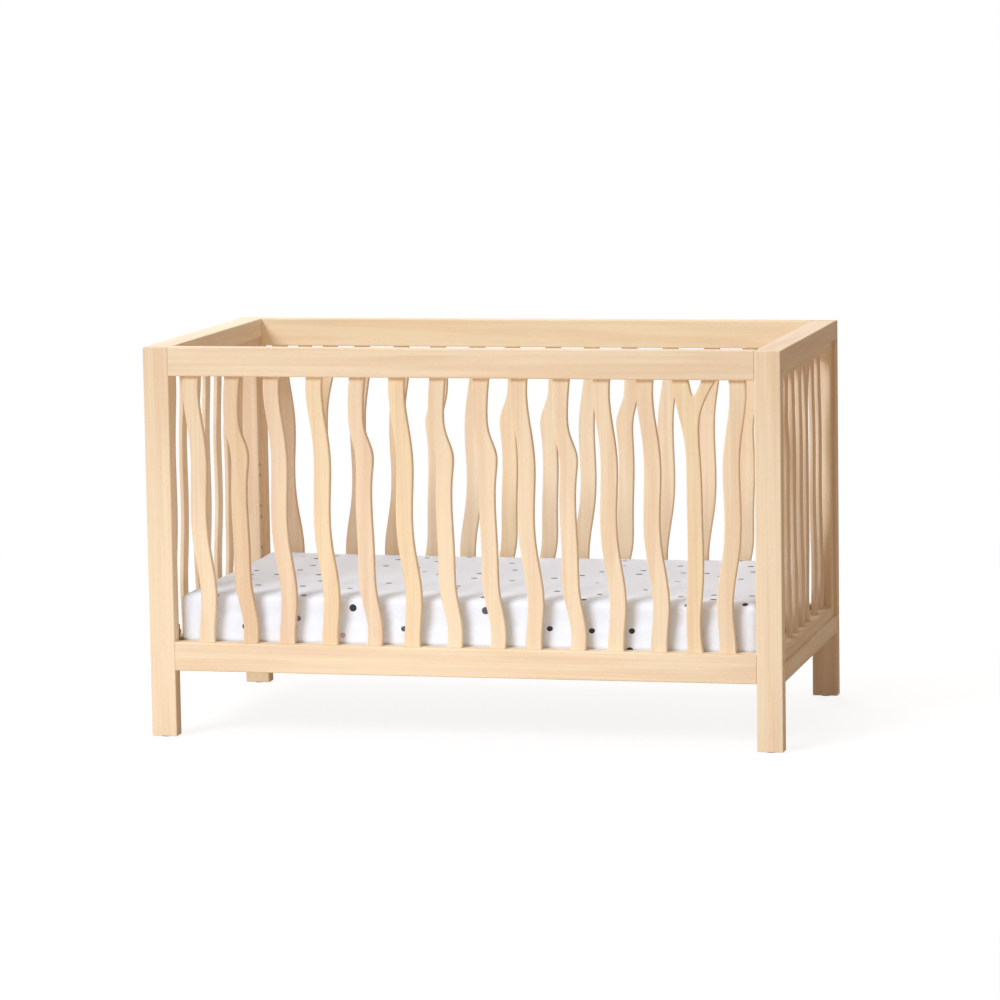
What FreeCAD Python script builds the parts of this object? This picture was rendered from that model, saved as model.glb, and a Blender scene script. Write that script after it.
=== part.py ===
import FreeCAD, Part
import os
import Sketcher

# Full-size baby crib, in millimetres. +Z is up and the origin is on the floor under the middle of
# the crib. +X runs along the crib's length and the front faces -Y. The rear panel is the front panel
# turned half round about Z, and the left end is the right end turned the same way.

Vector = FreeCAD.Vector
doc = FreeCAD.newDocument("baby_crib")

SIZES = {
    # overall frame
    "overall_length": 1448.0,
    "overall_width": 780.0,
    "overall_height": 885.0,
    "glide_height": 2.0,
    "edge_ease": 3.0,
    "small_ease": 2.0,
    "foot_ease": 1.0,
    # posts and the long rails, which are as deep as the posts
    "post_length": 59.0,
    "post_depth": 36.0,
    "rail_height": 65.0,
    "bottom_rail_base": 152.0,
    # end panels: a thick cap and lower rail, with a thinner frame set back between them
    "cap_height": 44.0,
    "lower_rail_height": 40.0,
    "inner_frame_depth": 43.0,
    "stile_width": 25.0,
    # slats
    "slat_thickness": 15.0,
    "end_slat_thickness": 10.0,
    "tenon_length": 10.0,
    "tenon_shoulder": 4.0,
    "crotch_radius": 5.0,
    # joinery between rails and posts
    "dowel_diameter": 8.0,
    "dowel_length": 40.0,
    "bolt_diameter": 6.0,
    "bolt_length": 85.0,
    "bolt_clearance": 1.0,
    "bolt_head_diameter": 12.0,
    "bolt_head_height": 5.0,
    "hex_key": 4.0,
    "hex_depth": 3.0,
    "counterbore_diameter": 14.0,
    "counterbore_depth": 8.0,
    "rail_insert_diameter": 10.0,
    "rail_insert_length": 30.0,
    "bolt_tip_room": 6.0,
    # mattress base and its brackets
    "base_length": 1306.0,
    "base_width": 696.0,
    "base_underside": 155.2,
    "base_rail_width": 30.0,
    "base_rail_height": 26.8,
    "base_slat_width": 60.0,
    "base_slat_thickness": 12.0,
    "base_slat_rest": 15.0,
    "base_slat_count": 13.0,
    "bracket_width": 22.0,
    "bracket_sheet": 2.5,
    "bracket_top": 250.0,
    "bracket_bend": 2.5,
    "bracket_clearance": 0.2,
    "peg_diameter": 8.0,
    "peg_height": 14.0,
    "peg_clearance": 1.2,
    "height_step": 100.0,
    "height_count": 4.0,
    "insert_diameter": 9.0,
    "insert_length": 15.0,
    "insert_tip_room": 4.0,
    "short_bolt_length": 16.0,
    "short_head_height": 3.5,
    "short_hex_depth": 2.0,
    "glide_diameter": 26.0,
    "glide_rim": 0.8,
    "glide_stem_diameter": 6.0,
    "glide_stem_length": 20.0,
    # mattress and fitted sheet
    "mattress_length": 1324.0,
    "mattress_width": 702.0,
    "mattress_height": 139.5,
    "mattress_gap": 0.3,
    "mattress_corner": 12.0,
    "mattress_edge": 14.0,
    "sheet_thickness": 1.5,
    "sheet_gap": 0.2,
    "sheet_hem": 60.0,
}

sheet = doc.addObject("Spreadsheet::Sheet", "Size")
for line, (alias, value) in enumerate(SIZES.items(), start=1):
    sheet.set(f"A{line}", alias)
    sheet.set(f"B{line}", str(value))
    sheet.setAlias(f"B{line}", alias)
doc.recompute()


def dim(alias):
    return float(sheet.get(alias))


# Expressions of the sheet that place more than one piece
INNER_END = "(Size.overall_length / 2 - Size.post_length)"
INNER_FRONT = "(Size.overall_width / 2 - Size.post_depth)"
POST_X = "(Size.overall_length / 2 - Size.post_length / 2)"
POST_Y = "(Size.overall_width / 2 - Size.post_depth / 2)"
TOP_RAIL_BASE = "(Size.overall_height - Size.rail_height)"
BOTTOM_RAIL_TOP = "(Size.bottom_rail_base + Size.rail_height)"
CAP_BASE = "(Size.overall_height - Size.cap_height)"
LOWER_RAIL_TOP = "(Size.bottom_rail_base + Size.lower_rail_height)"
BASE_TOP = "(Size.base_underside + Size.base_rail_height)"

inner_end = dim("overall_length") / 2 - dim("post_length")
inner_front = dim("overall_width") / 2 - dim("post_depth")
post_x = dim("overall_length") / 2 - dim("post_length") / 2
post_y = dim("overall_width") / 2 - dim("post_depth") / 2
inner_frame_face = post_x - dim("inner_frame_depth") / 2
post_floor = dim("glide_height")
cap_base = dim("overall_height") - dim("cap_height")
lower_rail_top = dim("bottom_rail_base") + dim("lower_rail_height")
slat_base = dim("bottom_rail_base") + dim("rail_height")
slat_span = dim("overall_height") - dim("rail_height") - slat_base

# Heights of the joinery above the floor
BOLT_HEIGHTS = (200.0, 840.0)
RAIL_DOWEL_HEIGHTS = (168.0, 870.0)
CAP_DOWEL_HEIGHTS = (856.0, 874.0)
LOWER_DOWEL_HEIGHTS = (162.0, 182.0)
CAP_DOWEL_OFFSET = 10.5         # outwards from the post's middle, clear of the rail dowels
DOWEL_SLACK = 1.0               # each hole for a dowel or a stem is this much deeper than it needs
STEP_CLEARANCE = 1.0            # the bracket clears the lower rail's top by this much
DROP_CLEARANCE = 0.5            # and its inner face by this much
LEDGE_BEYOND_PEG = 16.0
BRACKET_BOLT_HEIGHTS = (208.0, 234.0)
BRACKET_Y = inner_front - dim("stile_width") / 2
PEG_X = 632.0
PEG_Y = 339.0

# Branch-like edges of the slats, from the top down:
# (fraction of the slat's height below its top, sideways shift of its middle, width)
GENTLE = (
    (0.00, 0.0, 37), (0.10, 0.0, 36), (0.24, 11.5, 36), (0.33, 14.5, 37.5), (0.48, 11.7, 37),
    (0.62, 15.0, 37), (0.76, 28.0, 37), (0.84, 31.0, 36.5), (0.93, 27.0, 36), (1.00, 25.0, 37),
)
KINKED = (
    (0.00, 0.0, 36), (0.12, -5.0, 34.5), (0.20, -1.5, 35), (0.285, 12.5, 40), (0.36, 12.0, 37),
    (0.46, 9.7, 36), (0.66, 13.5, 37), (0.80, 17.0, 37), (0.91, 30.0, 34.5), (1.00, 29.0, 35),
)
MIRRORED = tuple((down, -shift, width) for down, shift, width in GENTLE)
PROFILES = {"gentle": GENTLE, "kinked": KINKED, "mirrored": MIRRORED}

# The forked slat: the outer edges of its trunk and branches, and the two inner edges of the fork
FORK_LEFT = ((0.00, -46), (0.10, -36), (0.22, -20), (0.38, -15.5), (0.70, -15.5), (0.87, -19), (1.00, -17))
FORK_RIGHT = (
    (0.00, 53), (0.07, 28), (0.13, 15.5), (0.20, 12.5), (0.33, 16.5), (0.53, 19), (0.75, 19),
    (0.87, 13.5), (1.00, 18),
)
FORK_INNER = (-10.5, 20.5)
FORK_CROTCH = (0.075, -0.5)

# Each slat's shape and the place of its top, from the left post along the front panel, and from the
# front face of the crib along the right end
FRONT_SLATS = (
    ("gentle", 48), ("kinked", 145), ("gentle", 236), ("gentle", 335), ("kinked", 434),
    ("gentle", 525), ("kinked", 618), ("kinked", 717), ("gentle", 803), ("kinked", 899),
    ("gentle", 989), ("gentle", 1086), ("forked", 1192), ("mirrored", 1290),
)
END_SLATS = (
    ("gentle", 132), ("kinked", 226), ("gentle", 308), ("gentle", 398), ("forked", 492),
    ("gentle", 575), ("gentle", 661),
)

# Direction of each origin plane's normal along its own axis
NORMAL_SIGN = {"XY_Plane": 1, "XZ_Plane": -1, "YZ_Plane": 1}
sub_parts = []


def new_body(label):
    body = doc.addObject("PartDesign::Body", label)
    body.Label = label
    sub_parts.append(body)
    return body


def new_sketch(body, role, name, offset=0.0):
    """A sketch on one of the body's own origin planes, moved along that plane's axis."""
    sketch = body.newObject("Sketcher::SketchObject", f"{body.Name}_{name}")
    plane = next(feature for feature in body.Origin.OriginFeatures if feature.Role == role)
    sketch.AttachmentSupport = (plane, [""])
    sketch.MapMode = "FlatFace"
    shift = Vector(0, 0, offset * NORMAL_SIGN[role])
    sketch.AttachmentOffset = FreeCAD.Placement(shift, FreeCAD.Rotation())
    return sketch


def polyline(sketch, points):
    """Straight edges through the points."""
    for start, end in zip(points, points[1:]):
        sketch.addGeometry(Part.LineSegment(Vector(*start, 0), Vector(*end, 0)), False)


def rectangle(sketch, x_low, y_low, x_high, y_high):
    corners = [(x_low, y_low), (x_high, y_low), (x_high, y_high), (x_low, y_high)]
    polyline(sketch, corners + corners[:1])


def bound_rectangle(sketch, width, height):
    """A rectangle centred on the sketch's origin whose sides follow two expressions."""
    rectangle(sketch, -10, -5, 10, 5)
    for first in range(4):
        second = (first + 1) % 4
        sketch.addConstraint(Sketcher.Constraint("Coincident", first, 2, second, 1))
        sketch.addConstraint(Sketcher.Constraint("Vertical" if first % 2 else "Horizontal", first))
    sketch.addConstraint(Sketcher.Constraint("Symmetric", 0, 1, 2, 1, -1, 1))
    for edge, kind, name, size in ((0, "DistanceX", "wide", width), (1, "DistanceY", "tall", height)):
        index = sketch.addConstraint(Sketcher.Constraint(kind, edge, 1, edge, 2, 20.0))
        sketch.renameConstraint(index, name)
        sketch.setExpression(f"Constraints.{name}", size)


def pad(body, sketch, length, both_ways=False, backwards=False):
    feature = body.newObject("PartDesign::Pad", f"{body.Name}_pad")
    feature.Profile = sketch
    feature.setExpression("Length", length)
    feature.Midplane = both_ways
    feature.Reversed = backwards
    doc.recompute()
    return feature


def pocket(body, sketch, depth, role, towards):
    """Cuts the sketch into the body, towards +1 or -1 along the plane's axis, and tests that it cut."""
    before = body.Shape.Volume
    feature = body.newObject("PartDesign::Pocket", f"{body.Name}_pocket")
    feature.Profile = sketch
    feature.setExpression("Length", depth)
    feature.Reversed = towards * NORMAL_SIGN[role] > 0
    doc.recompute()
    if body.Shape.Volume > before - 1.0:
        raise RuntimeError(f"{feature.Name} in {body.Label} cut nothing")


def drill(body, role, name, centres, diameter, start, depth, towards):
    """Round holes whose mouths are at start along the plane's axis."""
    sketch = new_sketch(body, role, name, start)
    for number, (x, y) in enumerate(centres):
        circle = sketch.addGeometry(Part.Circle(Vector(x, y, 0), Vector(0, 0, 1), 1.0), False)
        index = sketch.addConstraint(Sketcher.Constraint("Diameter", circle, 2.0))
        sketch.renameConstraint(index, f"bore{number}")
        sketch.setExpression(f"Constraints.bore{number}", diameter)
    pocket(body, sketch, depth, role, towards)


def ease(body, feature, wanted, radius="Size.edge_ease"):
    """Rounds the edges for which wanted(edge) is true."""
    names = [f"Edge{i}" for i, edge in enumerate(feature.Shape.Edges, start=1) if wanted(edge)]
    rounded = body.newObject("PartDesign::Fillet", f"{body.Name}_ease")
    rounded.Base = (feature, names)
    rounded.setExpression("Radius", radius)
    doc.recompute()
    return rounded


def runs_along(axis):
    """Tests for a straight edge along one axis."""
    def test(edge):
        box = edge.BoundBox
        spans = {"x": box.XLength, "y": box.YLength, "z": box.ZLength}
        return all(span < 0.01 for key, span in spans.items() if key != axis)
    return test


def place(body, x, y, z, turned=False):
    """Binds the body's place to expressions. A turned body is carried half round about Z."""
    angle = 180 if turned else 0
    body.Placement = FreeCAD.Placement(Vector(0, 0, 0), FreeCAD.Rotation(Vector(0, 0, 1), angle))
    sign = "-1" if turned else "1"
    body.setExpression("Placement.Base.x", f"{sign} * ({x})")
    body.setExpression("Placement.Base.y", f"{sign} * ({y})")
    body.setExpression("Placement.Base.z", z)


def mirror(body, role):
    """Adds the mirror image of everything in the body, as further solids."""
    feature = body.newObject("PartDesign::Mirrored", f"{body.Name}_{role}_mirror")
    plane = next(found for found in body.Origin.OriginFeatures if found.Role == role)
    feature.MirrorPlane = (plane, [""])
    feature.TransformMode = "Whole shape"
    body.Tip = feature
    doc.recompute()


def at_four_corners(body):
    mirror(body, "YZ_Plane")
    mirror(body, "XZ_Plane")


def cylinder(body, name, diameter, height, base, direction):
    """An added solid cylinder from base along direction."""
    feature = body.newObject("PartDesign::AdditiveCylinder", f"{body.Name}_{name}")
    feature.setExpression("Radius", f"({diameter}) / 2")
    feature.setExpression("Height", height)
    feature.Placement = FreeCAD.Placement(base, FreeCAD.Rotation(Vector(0, 0, 1), direction))
    doc.recompute()
    return feature


def timber(label, x_size, y_size, z_size):
    """A straight member centred on its own axis, standing on its origin."""
    body = new_body(label)
    sketch = new_sketch(body, "XY_Plane", "section")
    bound_rectangle(sketch, x_size, y_size)
    return body, pad(body, sketch, z_size)


# ---- slats ------------------------------------------------------------------------------------

def slat_edges(kind):
    """The slat's left and right edges as (fraction down, sideways) points."""
    if kind == "forked":
        return FORK_LEFT, FORK_RIGHT
    profile = PROFILES[kind]
    left = [(down, shift - width / 2) for down, shift, width in profile]
    right = [(down, shift + width / 2) for down, shift, width in profile]
    return left, right


def slat_tenons(kind):
    """The slat's tenons at its top and at its bottom, as (low, high) pairs sideways."""
    left, right = slat_edges(kind)
    shoulder = dim("tenon_shoulder")
    tops = [(left[0][1], right[0][1])]
    if kind == "forked":
        tops = [(left[0][1], FORK_INNER[0]), (FORK_INNER[1], right[0][1])]
    bottoms = [(left[-1][1], right[-1][1])]
    return ([(low + shoulder, high - shoulder) for low, high in ends] for ends in (tops, bottoms))


def flowing_edge(sketch, centre, edge):
    """One smooth curve down the slat's height."""
    points = [Vector(centre + x, slat_span * (1 - down), 0) for down, x in edge]
    curve = Part.BSplineCurve()
    curve.interpolate(points)
    sketch.addGeometry(curve, False)


def draw_tenon(sketch, centre, low, high, side_low, side_high, level, out):
    """Shoulder, tenon and shoulder, from one side of a slat's end to the other."""
    tip = level + out * dim("tenon_length")
    points = [(side_low, level), (low, level), (low, tip), (high, tip), (high, level), (side_high, level)]
    polyline(sketch, [(centre + x, z) for x, z in points])


def draw_fork(sketch, centre):
    """The two inner edges of the fork and the arc that joins them."""
    radius = dim("crotch_radius")
    foot = Vector(centre + FORK_CROTCH[1], slat_span * (1 - FORK_CROTCH[0]), 0)
    tops = [Vector(centre + x, slat_span, 0) for x in FORK_INNER]
    rays = [(top - foot).normalize() for top in tops]
    reach = radius / ((1 - rays[0].dot(rays[1])) / (1 + rays[0].dot(rays[1]))) ** 0.5
    touches = [foot + ray * reach for ray in rays]
    bisector = (rays[0] + rays[1]).normalize()
    middle = foot + bisector * ((reach ** 2 + radius ** 2) ** 0.5 - radius)
    sketch.addGeometry(Part.LineSegment(tops[0], touches[0]), False)
    sketch.addGeometry(Part.Arc(touches[0], middle, touches[1]), False)
    sketch.addGeometry(Part.LineSegment(touches[1], tops[1]), False)


def draw_slat(sketch, kind, centre):
    """The closed outline of one slat, with its middle at centre where it leaves the upper rail."""
    left, right = slat_edges(kind)
    tops, bottoms = slat_tenons(kind)
    shoulder = dim("tenon_shoulder")
    flowing_edge(sketch, centre, left)
    flowing_edge(sketch, centre, right)
    for ends, level, out in ((tops, slat_span, 1), (bottoms, 0, -1)):
        for low, high in ends:
            draw_tenon(sketch, centre, low, high, low - shoulder, high + shoulder, level, out)
    if kind == "forked":
        draw_fork(sketch, centre)


def in_slat_side(edge):
    """Tests for the long edges of a slat between its shoulders."""
    box = edge.BoundBox
    between = box.ZMin > -0.01 and box.ZMax < slat_span + 0.01
    return between and box.ZLength > 0.5 and box.XLength * box.YLength < 1e-3 and not_through(edge)


def not_through(edge):
    """Tests that an edge stays on one face of the slat instead of crossing its thickness."""
    ends = [vertex.Point for vertex in edge.Vertexes]
    return (ends[-1] - ends[0]).Length > 0.5


def mortises(body, slats, y_or_x, level, at_top, thickness, towards):
    """Cuts the pockets that the slats' tenons enter, in a plane seen from above."""
    sketch = new_sketch(body, "XY_Plane", "mortises", level)
    half = thickness / 2
    for kind, centre in slats:
        tops, bottoms = slat_tenons(kind)
        for low, high in (tops if at_top else bottoms):
            if y_or_x == "x":
                rectangle(sketch, centre + low, -half, centre + high, half)
            else:
                rectangle(sketch, -half, centre + low, half, centre + high)
    pocket(body, sketch, "Size.tenon_length", "XY_Plane", towards)


# ---- posts and rails --------------------------------------------------------------------------

def post(label, side, turned):
    """A front post. side is +1 for the right one and -1 for the left one."""
    height = "Size.overall_height - Size.glide_height"
    body, solid = timber(label, "Size.post_length", "Size.post_depth", height)
    top = dim("overall_height") - dim("glide_height")
    upright = runs_along("z")
    rounded = ease(body, solid, lambda edge: upright(edge) or edge.BoundBox.ZMin > top - 0.01)
    ease(body, rounded, lambda edge: edge.BoundBox.ZMax < 0.01, "Size.foot_ease")
    half = dim("post_length") / 2
    bolts = [(0, z - post_floor) for z in BOLT_HEIGHTS]
    drill(body, "YZ_Plane", "bolts", bolts, "Size.bolt_diameter + Size.bolt_clearance", side * half,
          "Size.post_length", -side)
    drill(body, "YZ_Plane", "counterbores", bolts, "Size.counterbore_diameter", side * half,
          "Size.counterbore_depth", -side)
    depth = f"Size.dowel_length / 2 + {DOWEL_SLACK}"
    rail_dowels = [(0, z - post_floor) for z in RAIL_DOWEL_HEIGHTS]
    drill(body, "YZ_Plane", "rail_dowels", rail_dowels, "Size.dowel_diameter", -side * half, depth, side)
    cap_dowels = [(side * CAP_DOWEL_OFFSET, z - post_floor) for z in CAP_DOWEL_HEIGHTS + LOWER_DOWEL_HEIGHTS]
    inner_face = dim("post_depth") / 2
    drill(body, "XZ_Plane", "cap_dowels", cap_dowels, "Size.dowel_diameter", inner_face, depth, -1)
    drill(body, "XY_Plane", "glide", [(0, 0)], "Size.glide_stem_diameter", 0,
          f"Size.glide_stem_length + {DOWEL_SLACK}", 1)
    place(body, f"{side} * {POST_X}", f"-{POST_Y}", "Size.glide_height", turned)


def long_rail(label, base, at_top, turned):
    """A top or bottom rail of the front panel, between the posts."""
    body, solid = timber(label, f"2 * {INNER_END}", "Size.post_depth", "Size.rail_height")
    ease(body, solid, runs_along("x"))
    level = 0.0 if at_top else dim("rail_height")
    slats = [(kind, centre - inner_end) for kind, centre in FRONT_SLATS]
    mortises(body, slats, "x", level, at_top, dim("slat_thickness"), 1 if at_top else -1)
    row = 1 if at_top else 0
    bottom = dim("overall_height") - dim("rail_height") if at_top else dim("bottom_rail_base")
    bolt = BOLT_HEIGHTS[row] - bottom
    dowel = RAIL_DOWEL_HEIGHTS[row] - bottom
    for end in (-1, 1):
        drill(body, "YZ_Plane", f"bolt{end + 1}", [(0, bolt)], "Size.rail_insert_diameter", end * inner_end,
              "Size.rail_insert_length + Size.bolt_tip_room", -end)
        drill(body, "YZ_Plane", f"dowel{end + 1}", [(0, dowel)], "Size.dowel_diameter", end * inner_end,
              f"Size.dowel_length / 2 + {DOWEL_SLACK}", -end)
    place(body, "0", f"-{POST_Y}", base, turned)


def long_panel_slat(label, kind, centre, turned):
    """One wavy slat of the front panel."""
    body = new_body(label)
    sketch = new_sketch(body, "XZ_Plane", "outline")
    draw_slat(sketch, kind, 0.0)
    solid = pad(body, sketch, "Size.slat_thickness", both_ways=True)
    ease(body, solid, in_slat_side)
    place(body, f"{centre} - {INNER_END}", f"-{POST_Y}", BOTTOM_RAIL_TOP, turned)


def end_rail(label, base, height, at_top, turned):
    """The cap or the lower rail of the right end, as thick as the posts are long."""
    body, solid = timber(label, "Size.post_length", f"2 * {INNER_FRONT}", height)
    ease(body, solid, runs_along("y"))
    dowels = CAP_DOWEL_HEIGHTS if at_top else LOWER_DOWEL_HEIGHTS
    bottom = cap_base if at_top else dim("bottom_rail_base")
    centres = [(CAP_DOWEL_OFFSET, z - bottom) for z in dowels]
    for end in (-1, 1):
        drill(body, "XZ_Plane", f"dowels{end + 1}", centres, "Size.dowel_diameter", end * inner_front,
              f"Size.dowel_length / 2 + {DOWEL_SLACK}", -end)
    place(body, POST_X, "0", base, turned)


def inner_frame_rail(label, base, height, at_top, turned):
    """The thinner rail of the right end that the slats stand in."""
    length = f"2 * ({INNER_FRONT} - Size.stile_width)"
    body, solid = timber(label, "Size.inner_frame_depth", length, height)
    slats = [(kind, centre - dim("overall_width") / 2) for kind, centre in END_SLATS]
    level = 0.0 if at_top else slat_base - lower_rail_top
    lengthwise = runs_along("y")
    ease(body, solid, lambda edge: lengthwise(edge) and abs(edge.BoundBox.ZMin - level) < 0.01,
         "Size.small_ease")
    mortises(body, slats, "y", level, at_top, dim("end_slat_thickness"), 1 if at_top else -1)
    place(body, POST_X, "0", base, turned)


def stiles(label, turned):
    """The two uprights of the right end's inner frame, with the bracket insert holes."""
    height = f"{CAP_BASE} - {LOWER_RAIL_TOP}"
    body = new_body(label)
    middle = inner_front - dim("stile_width") / 2
    sketch = new_sketch(body, "XY_Plane", "section")
    half_depth = dim("inner_frame_depth") / 2
    half_width = dim("stile_width") / 2
    rectangle(sketch, -half_depth, -middle - half_width, half_depth, -middle + half_width)
    solid = pad(body, sketch, height)
    inward = -middle + half_width
    upright = runs_along("z")
    ease(body, solid, lambda edge: upright(edge) and abs(edge.BoundBox.YMax - inward) < 0.01,
         "Size.small_ease")
    holes = [(-middle, z - lower_rail_top) for z in insert_heights()]
    drill(body, "YZ_Plane", "inserts", holes, "Size.insert_diameter", -half_depth,
          "Size.insert_length + Size.insert_tip_room", 1)
    mirror(body, "XZ_Plane")
    place(body, POST_X, "0", LOWER_RAIL_TOP, turned)


def end_slats(label, turned):
    """The seven wavy slats of the right end."""
    body = new_body(label)
    sketch = new_sketch(body, "YZ_Plane", "outlines")
    for kind, centre in END_SLATS:
        draw_slat(sketch, kind, centre - dim("overall_width") / 2)
    solid = pad(body, sketch, "Size.end_slat_thickness", both_ways=True)
    ease(body, solid, in_slat_side)
    place(body, POST_X, "0", BOTTOM_RAIL_TOP, turned)


# ---- hardware ---------------------------------------------------------------------------------

def insert_heights():
    """Heights of every insert: two at each of the mattress base's positions."""
    steps = range(int(dim("height_count")))
    return [z + step * dim("height_step") for step in steps for z in BRACKET_BOLT_HEIGHTS]


def hex_socket(body, name, depth, mouth, direction):
    """The hexagonal recess in a bolt's head, from its mouth along direction."""
    feature = body.newObject("PartDesign::SubtractivePrism", f"{body.Name}_{name}")
    feature.Polygon = 6
    feature.setExpression("Circumradius", "Size.hex_key / sqrt(3)")
    feature.setExpression("Height", depth)
    feature.Placement = FreeCAD.Placement(mouth, FreeCAD.Rotation(Vector(0, 0, 1), direction))
    doc.recompute()


def rail_bolts():
    """Connector bolts, from each post's outer face into an insert in the rail's end."""
    body = new_body("rail_bolts")
    seat = dim("overall_length") / 2 - dim("counterbore_depth")
    inwards = Vector(-1, 0, 0)
    for number, z in enumerate(BOLT_HEIGHTS):
        base = Vector(seat, -post_y, z)
        cylinder(body, f"shank{number}", "Size.bolt_diameter", "Size.bolt_length", base, inwards)
        cylinder(body, f"head{number}", "Size.bolt_head_diameter", "Size.bolt_head_height", base, -inwards)
        mouth = base - inwards * dim("bolt_head_height")
        hex_socket(body, f"socket{number}", "Size.hex_depth", mouth, inwards)
    at_four_corners(body)


def rail_inserts():
    """Threaded inserts in the ends of the long rails, which the connector bolts pull on."""
    body = new_body("rail_inserts")
    centres = [(-post_y, z) for z in BOLT_HEIGHTS]
    for number, (y, z) in enumerate(centres):
        cylinder(body, f"insert{number}", "Size.rail_insert_diameter", "Size.rail_insert_length",
                 Vector(inner_end, y, z), Vector(-1, 0, 0))
    drill(body, "YZ_Plane", "thread", centres, "Size.bolt_diameter", inner_end, "Size.rail_insert_length", -1)
    at_four_corners(body)


def frame_dowels():
    """The dowels of every rail-to-post joint."""
    body = new_body("frame_dowels")
    half = dim("dowel_length") / 2
    for number, z in enumerate(RAIL_DOWEL_HEIGHTS):
        cylinder(body, f"rail{number}", "Size.dowel_diameter", "Size.dowel_length",
                 Vector(inner_end - half, -post_y, z), Vector(1, 0, 0))
    for number, z in enumerate(CAP_DOWEL_HEIGHTS + LOWER_DOWEL_HEIGHTS):
        cylinder(body, f"end{number}", "Size.dowel_diameter", "Size.dowel_length",
                 Vector(post_x + CAP_DOWEL_OFFSET, -inner_front - half, z), Vector(0, 1, 0))
    at_four_corners(body)


def foot_glides():
    """Plastic glides pressed into the feet of the posts."""
    body = new_body("foot_glides")
    foot = Vector(post_x, -post_y, 0)
    up = Vector(0, 0, 1)
    disc = cylinder(body, "disc", "Size.glide_diameter", "Size.glide_height", foot, up)
    ease(body, disc, lambda edge: edge.BoundBox.ZMax < 0.01, "Size.glide_rim")
    cylinder(body, "stem", "Size.glide_stem_diameter", "Size.glide_height + Size.glide_stem_length", foot, up)
    at_four_corners(body)


def threaded_inserts():
    """Threaded inserts in the stiles, two at each height of the mattress base."""
    body = new_body("threaded_inserts")
    centres = [(-BRACKET_Y, z) for z in insert_heights()]
    for number, (y, z) in enumerate(centres):
        cylinder(body, f"insert{number}", "Size.insert_diameter", "Size.insert_length",
                 Vector(inner_frame_face, y, z), Vector(1, 0, 0))
    drill(body, "YZ_Plane", "thread", centres, "Size.bolt_diameter", inner_frame_face,
          "Size.insert_length", 1)
    at_four_corners(body)


def support_brackets():
    """Bent steel brackets: bolted to the stile, stepped over the lower rail, with a ledge and a peg."""
    body = new_body("support_brackets")
    thick = dim("bracket_sheet")
    plate_top = dim("bracket_top")
    ledge_top = dim("base_underside") - dim("bracket_clearance")
    step = lower_rail_top + STEP_CLEARANCE
    drop_face = inner_end - DROP_CLEARANCE
    ledge_tip = PEG_X - LEDGE_BEYOND_PEG
    outline = [
        (inner_frame_face, plate_top), (inner_frame_face, step), (drop_face, step),
        (drop_face, ledge_top - thick), (ledge_tip, ledge_top - thick), (ledge_tip, ledge_top),
        (drop_face - thick, ledge_top), (drop_face - thick, step + thick),
        (inner_frame_face - thick, step + thick), (inner_frame_face - thick, plate_top),
    ]
    sketch = new_sketch(body, "XZ_Plane", "profile", -BRACKET_Y)
    polyline(sketch, outline + outline[:1])
    solid = pad(body, sketch, "Size.bracket_width", both_ways=True)
    outer_bends = (outline[1], outline[3], outline[7])
    across = runs_along("y")

    def is_bend(edge):
        box = edge.BoundBox
        return across(edge) and any(abs(box.XMin - x) + abs(box.ZMin - z) < 0.01 for x, z in outer_bends)

    ease(body, solid, is_bend, "Size.bracket_bend")
    cylinder(body, "peg", "Size.peg_diameter", "Size.peg_height", Vector(PEG_X, -PEG_Y, ledge_top),
             Vector(0, 0, 1))
    centres = [(-BRACKET_Y, z) for z in BRACKET_BOLT_HEIGHTS]
    drill(body, "YZ_Plane", "holes", centres, "Size.bolt_diameter + 0.6 * Size.bolt_clearance",
          inner_frame_face, "Size.bracket_sheet", -1)
    at_four_corners(body)


def bracket_bolts():
    """Short bolts that hold the brackets at the lowest height."""
    body = new_body("bracket_bolts")
    seat = inner_frame_face - dim("bracket_sheet")
    outwards = Vector(1, 0, 0)
    for number, z in enumerate(BRACKET_BOLT_HEIGHTS):
        base = Vector(seat, -BRACKET_Y, z)
        cylinder(body, f"shank{number}", "Size.bolt_diameter", "Size.short_bolt_length", base, outwards)
        cylinder(body, f"head{number}", "Size.bolt_head_diameter", "Size.short_head_height", base, -outwards)
        mouth = base - outwards * dim("short_head_height")
        hex_socket(body, f"socket{number}", "Size.short_hex_depth", mouth, outwards)
    at_four_corners(body)


# ---- mattress base ----------------------------------------------------------------------------

def base_side_rails():
    """The mattress base's long rails, rebated for the cross slats and bored for the pegs."""
    body = new_body("base_side_rails")
    outer = dim("base_width") / 2
    sketch = new_sketch(body, "XY_Plane", "section")
    half = dim("base_length") / 2
    rectangle(sketch, -half, -outer, half, -outer + dim("base_rail_width"))
    solid = pad(body, sketch, "Size.base_rail_height")
    lengthwise = runs_along("x")
    ease(body, solid, lambda edge: lengthwise(edge) and edge.BoundBox.YMax < -outer + 0.01, "Size.small_ease")
    rebate = new_sketch(body, "XY_Plane", "rebate", dim("base_rail_height"))
    inner = -outer + dim("base_rail_width")
    rectangle(rebate, -half, inner - dim("base_slat_rest"), half, inner)
    pocket(body, rebate, "Size.base_slat_thickness", "XY_Plane", -1)
    drill(body, "XY_Plane", "pegs", [(-PEG_X, -PEG_Y), (PEG_X, -PEG_Y)],
          "Size.peg_diameter + Size.peg_clearance", 0, "Size.peg_height + 2 * Size.peg_clearance", 1)
    mirror(body, "XZ_Plane")
    place(body, "0", "0", "Size.base_underside")


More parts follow.
